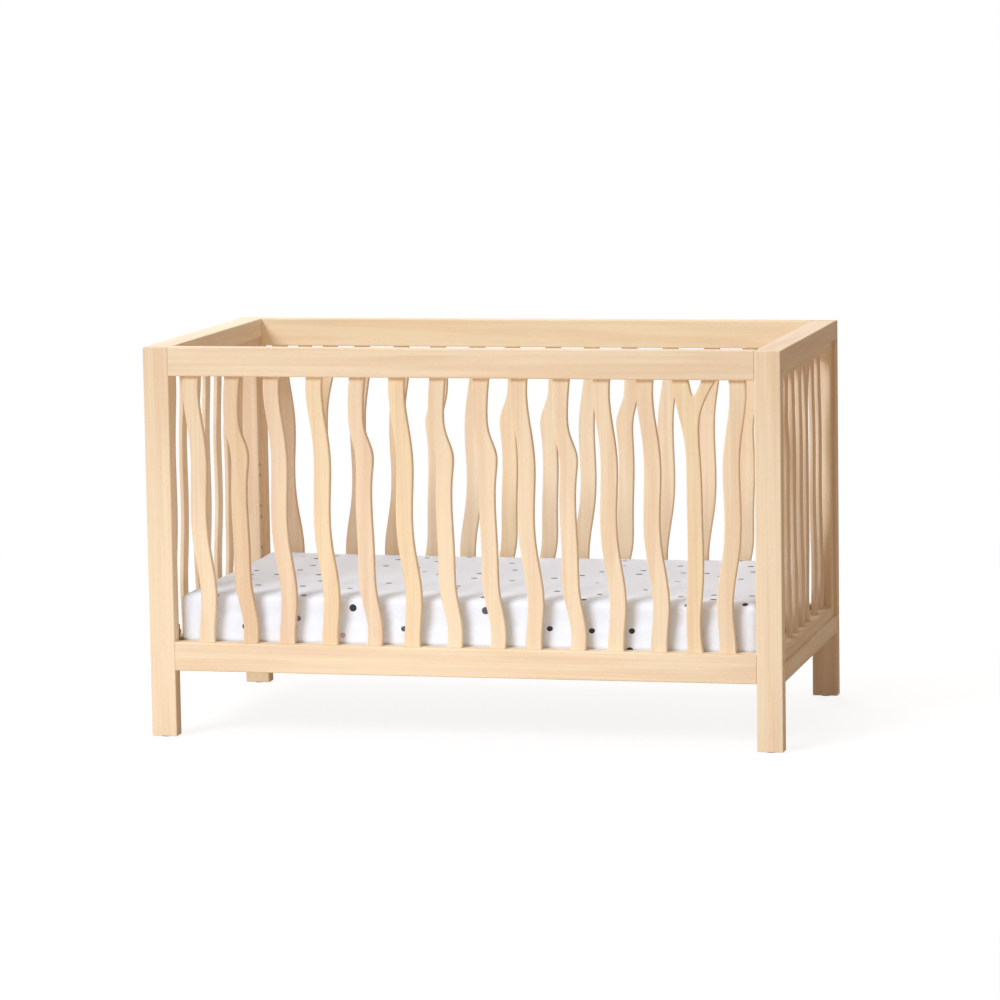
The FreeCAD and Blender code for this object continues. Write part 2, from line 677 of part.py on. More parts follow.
def base_end_rails():
    """The mattress base's short rails, between the long ones."""
    body = new_body("base_end_rails")
    sketch = new_sketch(body, "XY_Plane", "section")
    outer = dim("base_length") / 2
    reach = dim("base_width") / 2 - dim("base_rail_width")
    rectangle(sketch, outer - dim("base_rail_width"), -reach, outer, reach)
    solid = pad(body, sketch, "Size.base_rail_height")
    ease(body, solid, runs_along("y"), "Size.small_ease")
    mirror(body, "YZ_Plane")
    place(body, "0", "0", "Size.base_underside")


def base_slats():
    """The cross slats, evenly spaced between the short rails."""
    body = new_body("base_slats")
    count = int(dim("base_slat_count"))
    clear = dim("base_length") - 2 * dim("base_rail_width")
    gap = (clear - count * dim("base_slat_width")) / (count + 1)
    first = -clear / 2 + gap
    reach = dim("base_width") / 2 - dim("base_rail_width") + dim("base_slat_rest")
    sketch = new_sketch(body, "XY_Plane", "section")
    rectangle(sketch, first, -reach, first + dim("base_slat_width"), reach)
    solid = pad(body, sketch, "Size.base_slat_thickness")
    ease(body, solid, runs_along("y"), "Size.small_ease")
    row = body.newObject("PartDesign::LinearPattern", "base_slats_row")
    row.TransformMode = "Whole shape"
    row.Direction = (next(f for f in body.Origin.OriginFeatures if f.Role == "X_Axis"), [""])
    row.Length = (count - 1) * (gap + dim("base_slat_width"))
    row.Occurrences = count
    body.Tip = row
    doc.recompute()
    place(body, "0", "0", f"{BASE_TOP} - Size.base_slat_thickness")


# ---- mattress and sheet -----------------------------------------------------------------------

def cushion_block(name, margin, edge_radius):
    """A rounded block, margin inside the sheet's outer size on every side."""
    block = doc.addObject("Part::Box", f"{name}_block")
    block.setExpression("Length", f"Size.mattress_length - 2 * {margin}")
    block.setExpression("Width", f"Size.mattress_width - 2 * {margin}")
    block.setExpression("Height", f"Size.mattress_height - 2 * {margin}")
    block.setExpression("Placement.Base.x", f"-Size.mattress_length / 2 + {margin}")
    block.setExpression("Placement.Base.y", f"-Size.mattress_width / 2 + {margin}")
    block.setExpression("Placement.Base.z", f"{BASE_TOP} + Size.mattress_gap + {margin}")
    doc.recompute()
    corners = round_edges(block, f"{name}_corners", runs_along("z"), dim("mattress_corner"))
    flat = block.Shape.BoundBox
    return round_edges(corners, name, lambda edge: edge.BoundBox.ZLength < 0.01
                       and (edge.BoundBox.ZMin < flat.ZMin + 0.01 or edge.BoundBox.ZMax > flat.ZMax - 0.01),
                       edge_radius)


def round_edges(base, name, wanted, radius):
    rounded = doc.addObject("Part::Fillet", name)
    rounded.Base = base
    rounded.Edges = [(i, radius, radius) for i, edge in enumerate(base.Shape.Edges, start=1) if wanted(edge)]
    doc.recompute()
    return rounded


def mattress():
    core = cushion_block("mattress", "(Size.sheet_thickness + Size.sheet_gap)", dim("mattress_edge"))
    core.Label = "mattress"
    sub_parts.append(core)


def fitted_sheet():
    """A skin round the mattress, turned under it by the width of its hem."""
    edge = dim("mattress_edge")
    outer = cushion_block("sheet_outer", "0", edge + dim("sheet_thickness"))
    inner = cushion_block("sheet_inner", "Size.sheet_thickness", edge + 0.1)
    opening = doc.addObject("Part::Box", "sheet_opening")
    opening.setExpression("Length", "Size.mattress_length - 2 * Size.sheet_hem")
    opening.setExpression("Width", "Size.mattress_width - 2 * Size.sheet_hem")
    opening.setExpression("Height", "Size.mattress_height / 2")
    opening.setExpression("Placement.Base.x", "-Size.mattress_length / 2 + Size.sheet_hem")
    opening.setExpression("Placement.Base.y", "-Size.mattress_width / 2 + Size.sheet_hem")
    opening.setExpression("Placement.Base.z", f"{BASE_TOP} - 1")
    hollow = doc.addObject("Part::Fuse", "sheet_hollow")
    hollow.Base = inner
    hollow.Tool = opening
    skin = doc.addObject("Part::Cut", "fitted_sheet")
    skin.Base = outer
    skin.Tool = hollow
    skin.Label = "fitted_sheet"
    doc.recompute()
    sub_parts.append(skin)


# ---- assembly ---------------------------------------------------------------------------------

post("front_right_post", 1, False)
post("front_left_post", -1, False)
post("rear_left_post", 1, True)
post("rear_right_post", -1, True)

for panel, is_rear in (("front", False), ("rear", True)):
    long_rail(f"{panel}_top_rail", TOP_RAIL_BASE, True, is_rear)
    long_rail(f"{panel}_bottom_rail", "Size.bottom_rail_base", False, is_rear)
    for number, (shape, centre) in enumerate(FRONT_SLATS, start=1):
        long_panel_slat(f"{panel}_slat_{number:02d}", shape, centre, is_rear)

for panel, is_left in (("right", False), ("left", True)):
    end_rail(f"{panel}_cap_rail", CAP_BASE, "Size.cap_height", True, is_left)
    end_rail(f"{panel}_lower_rail", "Size.bottom_rail_base", "Size.lower_rail_height", False, is_left)
    inner_frame_rail(f"{panel}_inner_top_rail", TOP_RAIL_BASE, "Size.rail_height - Size.cap_height",
                     True, is_left)
    inner_frame_rail(f"{panel}_inner_bottom_rail", LOWER_RAIL_TOP,
                     "Size.rail_height - Size.lower_rail_height", False, is_left)
    stiles(f"{panel}_stiles", is_left)
    end_slats(f"{panel}_end_slats", is_left)

rail_bolts()
rail_inserts()
frame_dowels()
foot_glides()
threaded_inserts()
support_brackets()
bracket_bolts()
base_side_rails()
base_end_rails()
base_slats()
mattress()
fitted_sheet()
doc.recompute()

for item in doc.Objects:
    if {"Invalid", "Error"} & set(item.State):
        raise RuntimeError(f"{item.Name} failed: {item.State}")
for item in sub_parts:
    if item.Shape.isNull() or not item.Shape.isValid():
        raise RuntimeError(f"{item.Label} has no valid shape")

os.makedirs("parts", exist_ok=True)
for item in sub_parts:
    item.Shape.exportStep(f"parts/{item.Label}.step")
    print(f"{item.Label}: {len(item.Shape.Solids)} solid(s), {item.Shape.Volume / 1000:.1f} cm3")
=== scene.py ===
import math

import bmesh
import bpy
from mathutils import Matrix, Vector


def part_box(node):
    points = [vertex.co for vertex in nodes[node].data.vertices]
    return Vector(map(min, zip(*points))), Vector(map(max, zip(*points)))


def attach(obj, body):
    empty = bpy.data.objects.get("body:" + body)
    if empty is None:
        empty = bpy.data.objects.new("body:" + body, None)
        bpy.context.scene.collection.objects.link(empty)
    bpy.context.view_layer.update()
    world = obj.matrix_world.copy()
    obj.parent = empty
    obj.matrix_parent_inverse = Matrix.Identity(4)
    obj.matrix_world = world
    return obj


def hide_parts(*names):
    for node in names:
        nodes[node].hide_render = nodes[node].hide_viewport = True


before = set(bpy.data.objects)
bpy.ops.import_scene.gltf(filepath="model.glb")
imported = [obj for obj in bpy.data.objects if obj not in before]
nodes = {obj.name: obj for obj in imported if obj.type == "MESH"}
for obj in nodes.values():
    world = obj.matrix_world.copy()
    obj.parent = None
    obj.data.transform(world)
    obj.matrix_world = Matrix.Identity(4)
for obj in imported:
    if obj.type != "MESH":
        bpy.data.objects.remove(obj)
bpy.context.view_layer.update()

MM = 0.001              # a millimetre, in the scene's metres


# ---- material helpers ---------------------------------------------------------------------------

def colour(hex_code):
    """An sRGB hex value as the linear colour that the shaders expect."""
    parts = [int(hex_code[i:i + 2], 16) / 255 for i in (1, 3, 5)]
    linear = [c / 12.92 if c <= 0.04045 else ((c + 0.055) / 1.055) ** 2.4 for c in parts]
    return (*linear, 1.0)


def add(tree, kind, inputs=None, **settings):
    """Adds one node. Inputs give a socket's name or number, and its value or the output that feeds it."""
    node = tree.nodes.new(kind)
    for name, value in settings.items():
        setattr(node, name, value)
    for name, value in (inputs or {}).items():
        if isinstance(value, bpy.types.NodeSocket):
            tree.links.new(value, node.inputs[name])
        else:
            node.inputs[name].default_value = value
    return node


def new_material(name):
    material = bpy.data.materials.new(name)
    material.use_nodes = True
    material.node_tree.nodes.clear()
    return material, material.node_tree


def per_size(millimetres):
    """The scale of a noise or cell pattern whose features are about this wide."""
    return 1000.0 / millimetres


def per_band(millimetres):
    """The scale of a wave pattern whose bands are this far apart: the node fits 20 radians in a unit."""
    return 2 * math.pi / 20 / (millimetres * MM)


def drawn_out(grain, share):
    """The scale of a Mapping node that draws a pattern out along the grain, to one over the share."""
    return [share if axis == grain else 1.0 for axis in "XYZ"]


# ---- materials ----------------------------------------------------------------------------------

def lacquered_beech(name, grain, pale, warm, heart):
    """Beech, planed, sanded and finished with a clear matt water lacquer: pale wood with broad soft
    fields of a warmer tone, faint growth bands, short darker flecks along the grain and an even, dull
    sheen. Grain is the axis it runs along. Heart shifts the pattern away from the middle of the log,
    which decides how the growth bands meet each face."""
    material, tree = new_material(name)
    place = add(tree, "ShaderNodeTexCoord").outputs["Object"]
    log = add(tree, "ShaderNodeMapping", {"Vector": place, "Location": heart,
                                          "Scale": drawn_out(grain, 0.05)}).outputs[0]
    fibre = add(tree, "ShaderNodeMapping", {"Vector": place, "Scale": drawn_out(grain, 0.03)}).outputs[0]
    dash = add(tree, "ShaderNodeMapping", {"Vector": place, "Scale": drawn_out(grain, 0.16)}).outputs[0]

    # fields of warmer heartwood, about 28 mm across and twenty times as long, with soft edges
    fields = add(tree, "ShaderNodeTexNoise", {"Vector": log, "Scale": per_size(28),
                                              "Detail": 2.0, "Roughness": 0.4, "Distortion": 0.5})
    warmth = add(tree, "ShaderNodeMapRange", {"Value": fields.outputs["Fac"], "From Min": 0.40,
                                              "From Max": 0.62}, interpolation_type="SMOOTHSTEP")
    tone = add(tree, "ShaderNodeMix", {"Factor": warmth.outputs[0], 6: colour(pale), 7: colour(warm)},
               data_type="RGBA")
    # growth bands about 9 mm apart, bent by slow waves in the log
    bands = add(tree, "ShaderNodeTexWave", {"Vector": log, "Scale": per_band(9),
                                            "Distortion": 10.0, "Detail": 2.0, "Detail Scale": 0.8,
                                            "Detail Roughness": 0.5},
                wave_type="RINGS", rings_direction=grain, wave_profile="SIN")
    banded = add(tree, "ShaderNodeMapRange", {"Value": bands.outputs["Fac"], "From Min": 0.3,
                                              "To Min": 1.0, "To Max": 0.968})
    # streaks of lighter and darker wood, about 11 mm wide and many times as long
    streaks = add(tree, "ShaderNodeTexNoise", {"Vector": fibre, "Scale": per_size(11),
                                               "Detail": 3.0, "Roughness": 0.5})
    streaked = add(tree, "ShaderNodeMapRange", {"Value": streaks.outputs["Fac"], "From Min": 0.3,
                                                "From Max": 0.7, "To Min": 0.97, "To Max": 1.015})
    # fine fibres, drawn 1.2 mm wide so that they still show at arm's length
    fibres = add(tree, "ShaderNodeTexNoise", {"Vector": fibre, "Scale": per_size(1.2),
                                              "Detail": 3.0, "Roughness": 0.6})
    fibred = add(tree, "ShaderNodeMapRange", {"Value": fibres.outputs["Fac"], "From Min": 0.25,
                                              "From Max": 0.75, "To Min": 0.978, "To Max": 1.01})
    # ray flecks: short dark dashes about 1 mm wide and 6 mm long, one in each cell of 3.2 by 20 mm
    flecks = add(tree, "ShaderNodeTexVoronoi", {"Vector": dash, "Scale": per_size(3.2)})
    fleck = add(tree, "ShaderNodeMapRange", {"Value": flecks.outputs["Distance"], "From Min": 0.16,
                                             "From Max": 0.26, "To Min": 0.45, "To Max": 0.0})

    grown = add(tree, "ShaderNodeMath", {0: banded.outputs[0], 1: streaked.outputs[0]},
                operation="MULTIPLY")
    shade = add(tree, "ShaderNodeMath", {0: grown.outputs[0], 1: fibred.outputs[0]}, operation="MULTIPLY")
    shaded = add(tree, "ShaderNodeVectorMath", {0: tone.outputs[2], "Scale": shade.outputs[0]},
                 operation="SCALE")
    flecked = add(tree, "ShaderNodeMix", {"Factor": fleck.outputs[0], 6: shaded.outputs[0],
                                          7: colour("#f6e9da")}, data_type="RGBA", blend_type="MULTIPLY")
    gloss = add(tree, "ShaderNodeMapRange", {"Value": fibres.outputs["Fac"], "From Min": 0.2,
                                             "From Max": 0.8, "To Min": 0.58, "To Max": 0.70})
    relief = add(tree, "ShaderNodeBump", {"Height": fibres.outputs["Fac"], "Strength": 0.12,
                                          "Distance": 0.0004})
    shader = add(tree, "ShaderNodeBsdfPrincipled", {
        "Base Color": flecked.outputs[2], "Roughness": gloss.outputs[0], "Normal": relief.outputs[0],
        "IOR": 1.5, "Specular IOR Level": 0.08})
    add(tree, "ShaderNodeOutputMaterial", {"Surface": shader.outputs[0]})
    return material


def planed_pine(name, grain):
    """Pine, machine planed and left bare, as hidden bed slats are: yellower, with bolder growth
    bands and no sheen."""
    material, tree = new_material(name)
    place = add(tree, "ShaderNodeTexCoord").outputs["Object"]
    log = add(tree, "ShaderNodeMapping", {"Vector": place, "Location": (0.31, 0.17, 0.22),
                                          "Scale": drawn_out(grain, 0.06)}).outputs[0]
    bands = add(tree, "ShaderNodeTexWave", {"Vector": log, "Scale": per_band(6), "Distortion": 7.0,
                                            "Detail": 2.0, "Detail Scale": 1.0},
                wave_type="RINGS", rings_direction=grain, wave_profile="SAW")
    wood = add(tree, "ShaderNodeMix", {"Factor": bands.outputs["Fac"], 6: colour("#ecd4a6"),
                                       7: colour("#dcb983")}, data_type="RGBA")
    fibres = add(tree, "ShaderNodeTexNoise", {"Vector": log, "Scale": per_size(1.5), "Detail": 3.0,
                                              "Roughness": 0.6})
    fibred = add(tree, "ShaderNodeMapRange", {"Value": fibres.outputs["Fac"], "From Min": 0.25,
                                              "From Max": 0.75, "To Min": 0.95, "To Max": 1.03})
    shaded = add(tree, "ShaderNodeVectorMath", {0: wood.outputs[2], "Scale": fibred.outputs[0]},
                 operation="SCALE")
    relief = add(tree, "ShaderNodeBump", {"Height": fibres.outputs["Fac"], "Strength": 0.3,
                                          "Distance": 0.0006})
    shader = add(tree, "ShaderNodeBsdfPrincipled", {"Base Color": shaded.outputs[0],
                                                    "Normal": relief.outputs[0], "Roughness": 0.72})
    add(tree, "ShaderNodeOutputMaterial", {"Surface": shader.outputs[0]})
    return material


def zinc_plated_steel():
    """Mild steel with a bright zinc plate: a cool grey metal, slightly mottled by the plating bath."""
    material, tree = new_material("zinc_plated_steel")
    place = add(tree, "ShaderNodeTexCoord").outputs["Object"]
    mottle = add(tree, "ShaderNodeTexNoise", {"Vector": place, "Scale": per_size(2.5), "Detail": 3.0})
    tint = add(tree, "ShaderNodeMix", {"Factor": mottle.outputs["Fac"], 6: colour("#b3b6ba"),
                                       7: colour("#d8dadc")}, data_type="RGBA")
    gloss = add(tree, "ShaderNodeMapRange", {"Value": mottle.outputs["Fac"], "From Min": 0.3,
                                             "From Max": 0.7, "To Min": 0.26, "To Max": 0.38})
    shader = add(tree, "ShaderNodeBsdfPrincipled", {"Base Color": tint.outputs[2], "Metallic": 1.0,
                                                    "Roughness": gloss.outputs[0]})
    add(tree, "ShaderNodeOutputMaterial", {"Surface": shader.outputs[0]})
    return material


def turned_brass():
    """Brass, turned on a lathe: warm yellow metal with fine tool rings."""
    material, tree = new_material("turned_brass")
    place = add(tree, "ShaderNodeTexCoord").outputs["Object"]
    rings = add(tree, "ShaderNodeTexWave", {"Vector": place, "Scale": per_band(0.6)}, wave_type="BANDS",
                bands_direction="X")
    tint = add(tree, "ShaderNodeMix", {"Factor": rings.outputs["Fac"], 6: colour("#c9a24f"),
                                       7: colour("#d9b765")}, data_type="RGBA")
    relief = add(tree, "ShaderNodeBump", {"Height": rings.outputs["Fac"], "Strength": 0.25,
                                          "Distance": 0.0001})
    shader = add(tree, "ShaderNodeBsdfPrincipled", {"Base Color": tint.outputs[2], "Metallic": 1.0,
                                                    "Normal": relief.outputs[0], "Roughness": 0.3})
    add(tree, "ShaderNodeOutputMaterial", {"Surface": shader.outputs[0]})
    return material


def powder_coated_steel():
    """Sheet steel, bent and powder coated light sand: a dull skin with a fine orange-peel texture."""
    material, tree = new_material("powder_coated_steel")
    place = add(tree, "ShaderNodeTexCoord").outputs["Object"]
    peel = add(tree, "ShaderNodeTexNoise", {"Vector": place, "Scale": per_size(1.6), "Detail": 2.0})
    tint = add(tree, "ShaderNodeMix", {"Factor": peel.outputs["Fac"], 6: colour("#cfc1aa"),
                                       7: colour("#dacdb8")}, data_type="RGBA")
    relief = add(tree, "ShaderNodeBump", {"Height": peel.outputs["Fac"], "Strength": 0.2,
                                          "Distance": 0.0002})
    shader = add(tree, "ShaderNodeBsdfPrincipled", {"Base Color": tint.outputs[2],
                                                    "Normal": relief.outputs[0], "Roughness": 0.52})
    add(tree, "ShaderNodeOutputMaterial", {"Surface": shader.outputs[0]})
    return material


def moulded_polyethylene():
    """Black polyethylene, injection moulded: waxy and slightly uneven."""
    material, tree = new_material("moulded_polyethylene")
    place = add(tree, "ShaderNodeTexCoord").outputs["Object"]
    cloud = add(tree, "ShaderNodeTexNoise", {"Vector": place, "Scale": per_size(4), "Detail": 2.0})
    tint = add(tree, "ShaderNodeMix", {"Factor": cloud.outputs["Fac"], 6: colour("#262627"),
                                       7: colour("#39393a")}, data_type="RGBA")
    shader = add(tree, "ShaderNodeBsdfPrincipled", {"Base Color": tint.outputs[2], "Roughness": 0.55})
    add(tree, "ShaderNodeOutputMaterial", {"Surface": shader.outputs[0]})
    return material


def knitted_cover():
    """Polyester stretch knit over foam, in off-white: rows of small loops, drawn 2 mm wide so that
    they show, with painted shade in the hollows between the loops."""
    material, tree = new_material("knitted_polyester_cover")
    place = add(tree, "ShaderNodeTexCoord").outputs["Object"]
    rows = add(tree, "ShaderNodeTexWave", {"Vector": place, "Scale": per_band(2.0)}, wave_type="BANDS",
               bands_direction="X")
    loops = add(tree, "ShaderNodeTexWave", {"Vector": place, "Scale": per_band(2.4)}, wave_type="BANDS",
                bands_direction="Y")
    knit = add(tree, "ShaderNodeMath", {0: rows.outputs["Fac"], 1: loops.outputs["Fac"]},
               operation="MULTIPLY")
    # the hollows of the knit are painted darker than the loops: painted shade, following the relief
    tint = add(tree, "ShaderNodeMix", {"Factor": knit.outputs[0], 6: colour("#e3e2de"),
                                       7: colour("#f1f0ec")}, data_type="RGBA")
    relief = add(tree, "ShaderNodeBump", {"Height": knit.outputs[0], "Strength": 0.4, "Distance": 0.0005})
    shader = add(tree, "ShaderNodeBsdfPrincipled", {
        "Base Color": tint.outputs[2], "Normal": relief.outputs[0], "Roughness": 0.9,
        "Sheen Weight": 0.15, "Sheen Roughness": 0.5})
    add(tree, "ShaderNodeOutputMaterial", {"Surface": shader.outputs[0]})
    return material


def dotted_percale():
    """White cotton percale printed with scattered round dots: a smooth plain weave without lustre. Its
    pattern follows the cloth's own flat cut, which the UV map holds in metres."""
    material, tree = new_material("dotted_cotton_percale")
    cut = add(tree, "ShaderNodeUVMap", uv_map="cut").outputs[0]

    # sizes in millimetres: one dot in most cells, none in the rest, and each cell's random colour
    # picks its dot's radius and ink
    cell, least_radius, most_radius, blurred_edge = 88.0, 6.4, 8.6, 0.4
    empty_cells = 0.14
    dots = add(tree, "ShaderNodeTexVoronoi", {"Vector": cut, "Scale": per_size(cell), "Randomness": 0.82},
               voronoi_dimensions="2D")
    chance = add(tree, "ShaderNodeSeparateColor", {0: dots.outputs["Color"]})
    radius = add(tree, "ShaderNodeMapRange", {"Value": chance.outputs["Green"],
                                              "To Min": least_radius / cell,
                                              "To Max": most_radius / cell})
    inside = add(tree, "ShaderNodeMath", {0: radius.outputs[0], 1: dots.outputs["Distance"]},
                 operation="SUBTRACT")
    edge = add(tree, "ShaderNodeMapRange", {"Value": inside.outputs[0], "From Max": blurred_edge / cell})
    printed = add(tree, "ShaderNodeMath", {0: chance.outputs["Blue"], 1: empty_cells},
                  operation="GREATER_THAN")
    dot = add(tree, "ShaderNodeMath", {0: edge.outputs[0], 1: printed.outputs[0]}, operation="MULTIPLY")
    # inks: charcoal on most dots, then two greys and a dusty pink
    ink = add(tree, "ShaderNodeValToRGB", {"Fac": chance.outputs["Red"]})
    ink.color_ramp.interpolation = "CONSTANT"
    ink.color_ramp.elements[0].color = colour("#2f3137")
    ink.color_ramp.elements[1].position = 0.92
    ink.color_ramp.elements[1].color = colour("#cbb0b0")
    for start, shade in ((0.42, "#54565d"), (0.72, "#7d8089")):
        ink.color_ramp.elements.new(start).color = colour(shade)

    # the weave, drawn 0.9 mm from thread to thread, several times its real size, so that it shows
    warp = add(tree, "ShaderNodeTexWave", {"Vector": cut, "Scale": per_band(0.9)}, wave_type="BANDS",
               bands_direction="X")
    weft = add(tree, "ShaderNodeTexWave", {"Vector": cut, "Scale": per_band(0.9)}, wave_type="BANDS",
               bands_direction="Y")
    weave = add(tree, "ShaderNodeMath", {0: warp.outputs["Fac"], 1: weft.outputs["Fac"]},
                operation="MAXIMUM")
    # slubs: slightly thicker threads that leave faint cloudy patches about 9 mm wide
    slubs = add(tree, "ShaderNodeTexNoise", {"Vector": cut, "Scale": per_size(9), "Detail": 4.0})
    cloth = add(tree, "ShaderNodeMix", {"Factor": slubs.outputs["Fac"], 6: colour("#e9f0fc"),
                                        7: colour("#f2f7ff")}, data_type="RGBA")
    tint = add(tree, "ShaderNodeMix", {"Factor": dot.outputs[0], 6: cloth.outputs[2],
                                       7: ink.outputs["Color"]}, data_type="RGBA")
    relief = add(tree, "ShaderNodeBump", {"Height": weave.outputs[0], "Strength": 0.25,
                                          "Distance": 0.0003})
    shader = add(tree, "ShaderNodeBsdfPrincipled", {
        "Base Color": tint.outputs[2], "Normal": relief.outputs[0], "Roughness": 0.88,
        "Sheen Weight": 0.08, "Sheen Roughness": 0.6})
    add(tree, "ShaderNodeOutputMaterial", {"Surface": shader.outputs[0]})
    return material


def overlocked_seam():
    """Cotton thread sewn over the raw edge of percale: the same white, ribbed across every 2.5 mm,
    with painted shade in the grooves between the ribs.
    """
    material, tree = new_material("overlocked_cotton_seam")
    place = add(tree, "ShaderNodeTexCoord").outputs["Object"]
    stitches = add(tree, "ShaderNodeTexWave", {"Vector": place, "Scale": per_band(2.5)},
                   wave_type="BANDS", bands_direction="Z")
    # the low half of each rib is painted darker: painted shade in the grooves, following the relief
    tint = add(tree, "ShaderNodeMix", {"Factor": stitches.outputs["Fac"], 6: colour("#d5d9e4"),
                                       7: colour("#f1f4fc")}, data_type="RGBA")
    relief = add(tree, "ShaderNodeBump", {"Height": stitches.outputs["Fac"], "Strength": 0.5,
                                          "Distance": 0.0005})
    shader = add(tree, "ShaderNodeBsdfPrincipled", {"Base Color": tint.outputs[2],
                                                    "Normal": relief.outputs[0], "Roughness": 0.9})
    add(tree, "ShaderNodeOutputMaterial", {"Surface": shader.outputs[0]})
    return material


# Beech boards differ in tone from piece to piece: the pale wood of a board, then its warmer fields.
TONES = {
    "cream": ("#fae4c4", "#f4d9b8"),
    "honey": ("#fae2bd", "#f5d9b3"),
    "rose": ("#f6ddbe", "#f0d2b3"),
    "sand": ("#f2d6b3", "#eacba8"),
}


def beech_set(grain, hearts):
    """One beech material for each tone, with its grain along an axis."""
    return {tone: lacquered_beech(f"lacquered_beech_{tone}_{grain.lower()}", grain, *TONES[tone], heart)
            for tone, heart in zip(TONES, hearts)}


upright = beech_set("Z", [(0.10, 0.62, 0), (-0.35, 0.55, 0), (0.42, 0.66, 0), (-0.72, 0.50, 0)])
lengthwise = beech_set("X", [(0, 0.50, -0.78), (0, 0.45, -0.90), (0, 0.52, -0.20), (0, 0.60, -0.10)])
crosswise = beech_set("Y", [(-0.60, 0, -0.86), (-0.80, 0, -0.95), (0.65, 0, -0.20), (0.78, 0, -0.80)])

# the boards of the front slats, from left to right; the rear slats start with the sixth
SLAT_TONES = ["cream", "sand", "rose", "honey", "rose", "honey", "cream", "cream", "cream", "cream",
              "cream", "cream", "honey", "cream"]
FIRST_SLAT = {"front": 0, "rear": 5}
# the boards of each panel's top rail, bottom rail, left post and right post
PANEL_TONES = {"front": ("cream", "cream", "cream", "cream"), "rear": ("honey", "rose", "honey", "rose")}

finishes = {}
for panel, (top, bottom, left, right) in PANEL_TONES.items():
    for number in range(len(SLAT_TONES)):
        tone = SLAT_TONES[(number + FIRST_SLAT[panel]) % len(SLAT_TONES)]
        finishes[f"{panel}_slat_{number + 1:02d}"] = upright[tone]
    finishes[f"{panel}_top_rail"] = lengthwise[top]
    finishes[f"{panel}_bottom_rail"] = lengthwise[bottom]
    finishes[f"{panel}_left_post"] = upright[left]
    finishes[f"{panel}_right_post"] = upright[right]
for side, tone, other in (("left", "cream", "rose"), ("right", "rose", "cream")):
    finishes[f"{side}_cap_rail"] = crosswise[tone]
    finishes[f"{side}_lower_rail"] = crosswise[other]
    finishes[f"{side}_inner_top_rail"] = crosswise[other]
    finishes[f"{side}_inner_bottom_rail"] = crosswise[tone]
    finishes[f"{side}_stiles"] = upright[other]
    finishes[f"{side}_end_slats"] = upright[tone]
finishes["frame_dowels"] = upright["sand"]
finishes["base_side_rails"] = planed_pine("planed_pine_lengthwise", "X")
finishes["base_end_rails"] = finishes["base_slats"] = planed_pine("planed_pine_crosswise", "Y")
finishes["rail_bolts"] = finishes["rail_inserts"] = finishes["bracket_bolts"] = zinc_plated_steel()
finishes["threaded_inserts"] = turned_brass()
finishes["support_brackets"] = powder_coated_steel()
finishes["foot_glides"] = moulded_polyethylene()

for node, material in finishes.items():
    for slot in nodes[node].material_slots:
        slot.material = material


# ---- mattress and fitted sheet --------------------------------------------------------------------

def new_piece(name, mesh_builder, material):
    """A piece at the origin whose bmesh is made by mesh_builder."""
    mesh = bpy.data.meshes.new(name)
    shape = bmesh.new()
    mesh_builder(shape)
    shape.to_mesh(mesh)
    shape.free()
    piece = bpy.data.objects.new(name, mesh)
    bpy.context.scene.collection.objects.link(piece)
    piece.data.materials.append(material)
    return piece


def apply_modifiers(piece):
    """Replaces the piece's mesh by the one its modifiers make."""
    depsgraph = bpy.context.evaluated_depsgraph_get()
    mesh = bpy.data.meshes.new_from_object(piece.evaluated_get(depsgraph))
    old = piece.data
    piece.modifiers.clear()
    piece.data = mesh
    bpy.data.meshes.remove(old)


def remesh(piece, voxel):
    """Turns the piece into a shell of even squares, of about the voxel's size."""
    modifier = piece.modifiers.new("remesh", "REMESH")
    modifier.mode = "VOXEL"
    modifier.voxel_size = voxel
    apply_modifiers(piece)


def shade_smooth(piece):
    for polygon in piece.data.polygons:
        polygon.use_smooth = True


low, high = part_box("mattress")
CORNER = 0.012          # radius of the mattress's corners, seen from above
EDGE = 0.0115           # radius of its upper and lower edges
SWELL = 0.0005          # the cover is cut this much smaller than the foam and swells over it
MOST_SWELL = 0.0025     # no point of the cover swells further than this
SWELL_FRAMES = 20       # steps of the simulation
LEVEL = 1e-5            # an edge that climbs less than this is level

SHEET_HEM = 0.060       # how far the sheet is turned in under the mattress
SHEET_CLOTH = 0.0012    # its thickness
SHEET_EASE = 0.0006     # its distance from the mattress
UNDERSIDE = 0.004       # the part of the sheet that lies on the slats is no higher than this
DOWNWARD = -0.7         # the normal of a face that looks down is below this

GATHER_REACH = 0.16     # how far the gathers run along the sides from a corner
GATHER_HEIGHT = 0.0006
GATHER_START = 0.03     # where they start, as a share of the way down the side
GATHER_GROWTH = 1.6     # how fast they grow from there
SIDE_BAND = 0.020       # a point this near to a long side runs along that side
# each wave of the gathers: radians in a metre along the side, radians from the top to the bottom,
# where it starts, and its share of the height
GATHER_WAVES = ((330, 5.5, 0.0, 1.0), (170, -7.0, 1.3, 0.5))

SEAM_WIDTH = 0.0028
SEAM_THREAD = 0.0009    # thickness of the row of thread
SEAM_LIFT = 0.0001      # its middle's distance from the cloth's face
SEAM_STEPS = 24         # pieces of the straight part of a seam


def climb(edge):
    """How much higher one end of an edge is than the other."""
    return abs(edge.verts[0].co.z - edge.verts[1].co.z)


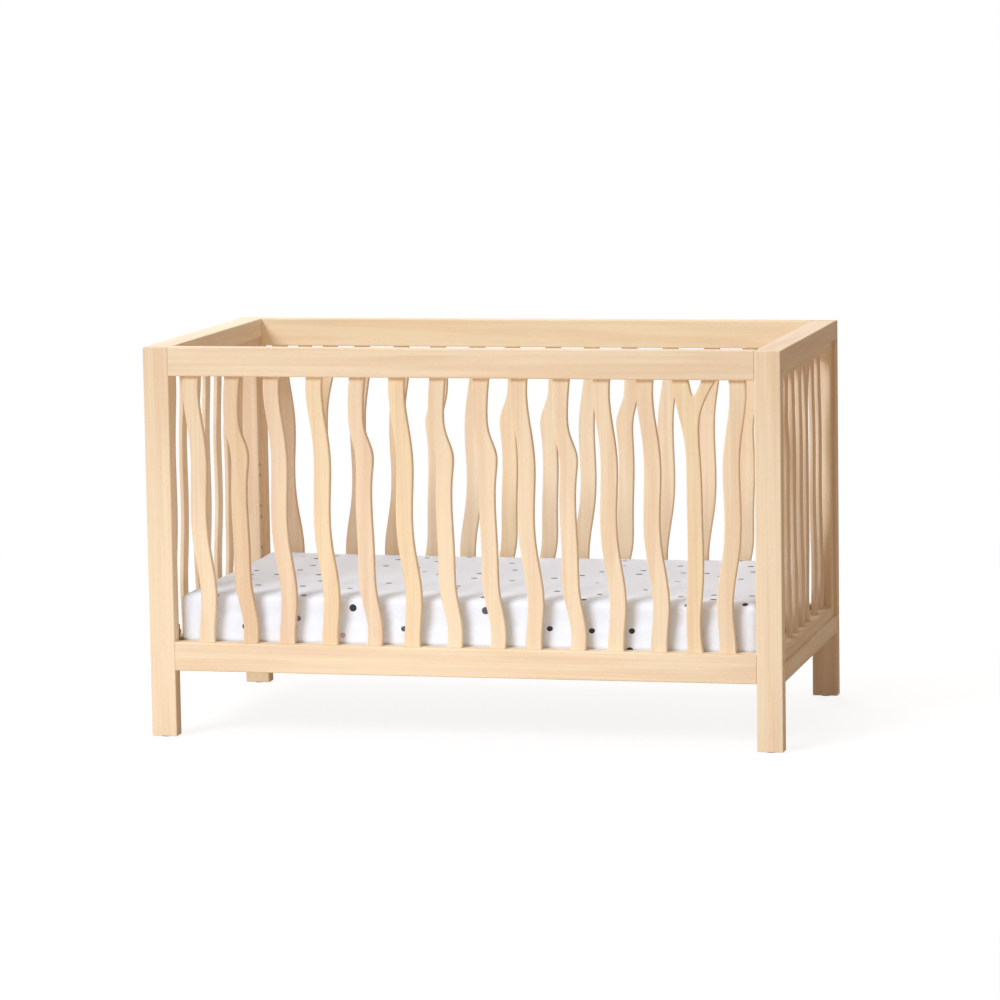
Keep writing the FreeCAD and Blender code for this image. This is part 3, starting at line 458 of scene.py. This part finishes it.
def mattress_block(shape):
    """A slab with rounded corners and eased edges, a little smaller than the finished mattress."""
    inner_low = low + Vector((SWELL, SWELL, 0))
    inner_high = high - Vector((SWELL, SWELL, SWELL))
    bmesh.ops.create_cube(shape, size=1.0)
    bmesh.ops.scale(shape, vec=inner_high - inner_low, verts=shape.verts)
    bmesh.ops.translate(shape, vec=(inner_low + inner_high) / 2, verts=shape.verts)
    corners = [e for e in shape.edges if climb(e) > LEVEL]
    bmesh.ops.bevel(shape, geom=corners, offset=CORNER, segments=6, profile=0.5, affect="EDGES",
                    material=-1)
    # a rim is a level edge between the top or the underside and a side
    rims = [e for e in shape.edges if climb(e) < LEVEL
            and abs(e.link_faces[0].normal.z - e.link_faces[1].normal.z) > 0.5]
    bmesh.ops.bevel(shape, geom=rims, offset=EDGE, segments=5, profile=0.5, affect="EDGES", material=-1)


def puff(piece):
    """Blows the cover up with a little air pressure. The slats below hold its underside flat, and its
    corners are stiff."""
    start = [v.co.copy() for v in piece.data.vertices]
    held = piece.vertex_groups.new(name="held")
    flat_below = low.z + EDGE * 0.6
    stiff_x, stiff_y = high.x - 2 * CORNER, high.y - 2 * CORNER
    held.add([i for i, co in enumerate(start)
              if co.z < flat_below or (abs(co.x) > stiff_x and abs(co.y) > stiff_y)], 1.0, "REPLACE")
    cloth = piece.modifiers.new("cloth", "CLOTH")
    cloth.settings.quality = 4
    cloth.settings.mass = 0.4
    cloth.settings.tension_stiffness = 18
    cloth.settings.compression_stiffness = 18
    cloth.settings.bending_stiffness = 2.0
    cloth.settings.use_pressure = True
    cloth.settings.uniform_pressure_force = 3.0
    cloth.settings.vertex_group_mass = "held"
    cloth.settings.effector_weights.gravity = 0
    cloth.point_cache.frame_start = 1
    cloth.point_cache.frame_end = SWELL_FRAMES
    for frame_number in range(1, SWELL_FRAMES + 1):
        bpy.context.scene.frame_set(frame_number)
    apply_modifiers(piece)
    bpy.context.scene.frame_set(1)
    for vertex, place in zip(piece.data.vertices, start):
        move = vertex.co - place
        if move.length > MOST_SWELL:
            vertex.co = place + move * (MOST_SWELL / move.length)
    shade_smooth(piece)


mattress = new_piece("foam_mattress", mattress_block, knitted_cover())
remesh(mattress, voxel=0.008)
puff(mattress)


def on_slats(face):
    """Whether a face is part of the flat underside."""
    return face.normal.z < DOWNWARD and face.calc_center_median().z < low.z + UNDERSIDE


def sheet_skin(shape):
    """The mattress's surface, moved outwards by the sheet's ease and opened under the mattress where
    the hem ends."""
    shape.from_mesh(mattress.data)
    shape.normal_update()
    opening_x, opening_y = high.x - SHEET_HEM, high.y - SHEET_HEM
    cuts = [((side * opening_x, 0, 0), (side, 0, 0)) for side in (-1, 1)]
    cuts += [((0, side * opening_y, 0), (0, side, 0)) for side in (-1, 1)]
    for place, facing in cuts:
        faces = [f for f in shape.faces if on_slats(f)]
        edges = {e for f in faces for e in f.edges}
        points = {v for f in faces for v in f.verts}
        bmesh.ops.bisect_plane(shape, geom=[*faces, *edges, *points], dist=LEVEL, plane_co=place,
                               plane_no=facing)
    middle = [f for f in shape.faces if on_slats(f)
              and abs(f.calc_center_median().x) < opening_x and abs(f.calc_center_median().y) < opening_y]
    bmesh.ops.delete(shape, geom=middle, context="FACES")
    shape.normal_update()
    for vertex in shape.verts:
        vertex.co += vertex.normal * SHEET_EASE


def gather_corners(piece):
    """Short pulls run from each corner where the elastic gathers the cloth."""
    for vertex in piece.data.vertices:
        co = vertex.co
        past = Vector((abs(co.x), abs(co.y))) - Vector((high.x - CORNER, high.y - CORNER))
        down = (high.z - co.z) / (high.z - low.z)
        if min(past) < -GATHER_REACH or down < GATHER_START:
            continue
        along = past.x if abs(co.y) > high.y - SIDE_BAND else past.y
        fade = max(0.0, 1 + min(along, 0) / GATHER_REACH) ** 2 * min(1.0, down * GATHER_GROWTH)
        ripple = sum(share * math.sin(along * length + down * lean + begin)
                     for length, lean, begin, share in GATHER_WAVES)
        outwards = Vector((vertex.normal.x, vertex.normal.y, 0))
        vertex.co = co + outwards * (GATHER_HEIGHT * ripple * fade)


def lay_out_cut(piece):
    """Writes each face's place in the flat cut as a UV map, in metres, with a seam at each corner."""
    layer = piece.data.uv_layers.new(name="cut")
    for polygon in piece.data.polygons:
        on_end = abs(polygon.normal.x) > abs(polygon.normal.y)
        beneath = polygon.normal.z < DOWNWARD
        for loop in polygon.loop_indices:
            co = piece.data.vertices[piece.data.loops[loop].vertex_index].co
            down = max(0.0, high.z - co.z)
            if beneath:
                edge = high.x - abs(co.x) if on_end else high.y - abs(co.y)
                down += 2 * edge
            u = co.x + math.copysign(down, co.x) * on_end
            v = co.y + math.copysign(down, co.y) * (not on_end)
            layer.data[loop].uv = (u, v)


def corner_seams(shape):
    """A narrow tape up each corner of the sheet and over the mattress's upper edge."""
    reach = CORNER * math.sqrt(0.5)
    straight = high.z - low.z - 2 * EDGE
    for side_x in (-1, 1):
        for side_y in (-1, 1):
            out = Vector((side_x, side_y, 0)).normalized()
            across = Vector((-out.y, out.x, 0))
            foot = Vector((side_x * (high.x - CORNER + reach), side_y * (high.y - CORNER + reach),
                           low.z + EDGE))
            ends = [shape.verts.new(foot + across * offset) for offset in (-SEAM_WIDTH / 2, SEAM_WIDTH / 2)]
            rung = [shape.edges.new(ends)]
            for _ in range(SEAM_STEPS):
                made = bmesh.ops.extrude_edge_only(shape, edges=rung)["geom"]
                ends = [v for v in made if isinstance(v, bmesh.types.BMVert)]
                bmesh.ops.translate(shape, vec=(0, 0, straight / SEAM_STEPS), verts=ends)
                rung = [shape.edges.get(ends)]
            over = foot + Vector((0, 0, straight)) - out * EDGE
            bmesh.ops.spin(shape, geom=rung + ends, cent=over, axis=across, angle=-math.pi / 2, steps=8)
    bmesh.ops.recalc_face_normals(shape, faces=shape.faces)


def thicken(piece, thickness, outwards):
    """Gives a skin its thickness. Outwards is 1 for all of it outside and 0 for half on each side."""
    wall = piece.modifiers.new("thickness", "SOLIDIFY")
    wall.thickness = thickness
    wall.offset = outwards
    apply_modifiers(piece)


fitted = new_piece("fitted_sheet_cloth", sheet_skin, dotted_percale())
gather_corners(fitted)
lay_out_cut(fitted)
shade_smooth(fitted)

seams = new_piece("sheet_corner_seams", corner_seams, overlocked_seam())
wrap = seams.modifiers.new("lie_on_the_sheet", "SHRINKWRAP")
wrap.target = fitted
wrap.wrap_method = "NEAREST_SURFACEPOINT"
wrap.wrap_mode = "ABOVE_SURFACE"
wrap.offset = SHEET_CLOTH + SEAM_LIFT
thicken(seams, SEAM_THREAD, outwards=0.0)
shade_smooth(seams)
thicken(fitted, SHEET_CLOTH, outwards=1.0)

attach(mattress, "mattress_body")
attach(fitted, "mattress_body")
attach(seams, "mattress_body")
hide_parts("mattress")
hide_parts("fitted_sheet")


# ---- floor, light and camera ----------------------------------------------------------------------

def seen_apart(tree, lit, shown):
    """Mixes two shaders: light that bounces meets the lit one, and the camera, gloss and glass see the
    shown one."""
    path = add(tree, "ShaderNodeLightPath")
    opaque = add(tree, "ShaderNodeMath", {0: path.outputs["Is Camera Ray"],
                                          1: path.outputs["Is Glossy Ray"]}, operation="MAXIMUM")
    looking = add(tree, "ShaderNodeMath", {0: opaque.outputs[0],
                                           1: path.outputs["Is Transmission Ray"]}, operation="MAXIMUM")
    return add(tree, "ShaderNodeMixShader", {0: looking.outputs[0], 1: lit, 2: shown}).outputs[0]


def studio_floor():
    """Matt white studio floor. Near the crib it takes the crib's shadow; further off it is plain white."""
    material, tree = new_material("white_studio_floor")
    place = add(tree, "ShaderNodeTexCoord").outputs["Object"]
    distance = add(tree, "ShaderNodeVectorMath", {0: place}, operation="LENGTH")
    # the shadow fades out between 1.6 m and 3.2 m from the middle of the floor
    far = add(tree, "ShaderNodeMapRange", {"Value": distance.outputs["Value"], "From Min": 1.6,
                                           "From Max": 3.2}, interpolation_type="SMOOTHSTEP")
    painted = add(tree, "ShaderNodeBsdfDiffuse", {"Color": colour("#cbb49d")})
    shadowed = add(tree, "ShaderNodeBsdfDiffuse", {"Color": colour("#7a7a7a")})
    glow = add(tree, "ShaderNodeEmission", {"Color": colour("#ffffff"), "Strength": 0.88})
    white = add(tree, "ShaderNodeEmission", {"Color": colour("#ffffff"), "Strength": 1.0})
    near = add(tree, "ShaderNodeAddShader", {0: shadowed.outputs[0], 1: glow.outputs[0]})
    seen = add(tree, "ShaderNodeMixShader", {0: far.outputs[0], 1: near.outputs[0], 2: white.outputs[0]})
    surface = seen_apart(tree, painted.outputs[0], seen.outputs[0])
    add(tree, "ShaderNodeOutputMaterial", {"Surface": surface})
    return material


def floor_disc(shape):
    bmesh.ops.create_circle(shape, cap_ends=True, segments=64, radius=30.0)


new_piece("studio_floor", floor_disc, studio_floor())

world = bpy.data.worlds.new("studio")
world.use_nodes = True
world.node_tree.nodes.clear()
room = add(world.node_tree, "ShaderNodeBackground", {"Color": colour("#ffeddb"), "Strength": 0.31})
white_wall = add(world.node_tree, "ShaderNodeBackground", {"Color": colour("#ffffff"), "Strength": 1.0})
backdrop = seen_apart(world.node_tree, room.outputs[0], white_wall.outputs[0])
add(world.node_tree, "ShaderNodeOutputWorld", {"Surface": backdrop})
bpy.context.scene.world = world

MIDDLE = Vector((0, 0, 0.45))       # the middle of the crib


def softbox(name, place, size, power, tint="#ffffff"):
    """A large lamp that faces the middle of the crib. Size is its width and height, in metres, and
    power is in watts."""
    lamp = bpy.data.lights.new(name, "AREA")
    lamp.shape = "RECTANGLE"
    lamp.size, lamp.size_y = size
    lamp.energy = power
    lamp.color = colour(tint)[:3]
    holder = bpy.data.objects.new(name, lamp)
    holder.location = place
    holder.rotation_euler = (MIDDLE - Vector(place)).to_track_quat("-Z", "Y").to_euler()
    holder.visible_camera = False
    bpy.context.scene.collection.objects.link(holder)


softbox("key_softbox", (-11.4, -19.35, 16.3), (10.0, 10.0), 5150, "#ebf5ff")
softbox("top_softbox", (-0.3, 0.2, 5.0), (3.0, 2.0), 54, "#f4f8ff")
softbox("low_strip", (-0.1, -1.35, 0.1), (1.7, 0.15), 3.6, "#f6faff")
softbox("back_softbox", (-2.2, 6.0, 3.4), (3.0, 3.0), 130)

lens = bpy.data.cameras.new("camera")
lens.lens = 161.6
lens.sensor_width = 36.0
lens.clip_end = 200.0
camera = bpy.data.objects.new("camera", lens)
camera.location = (2.389, -9.948, 1.791)
camera.rotation_euler = [math.radians(angle) for angle in (82.81, 0.9, 13.385)]
bpy.context.scene.collection.objects.link(camera)
bpy.context.scene.camera = camera
bpy.context.scene.view_settings.view_transform = "Standard"
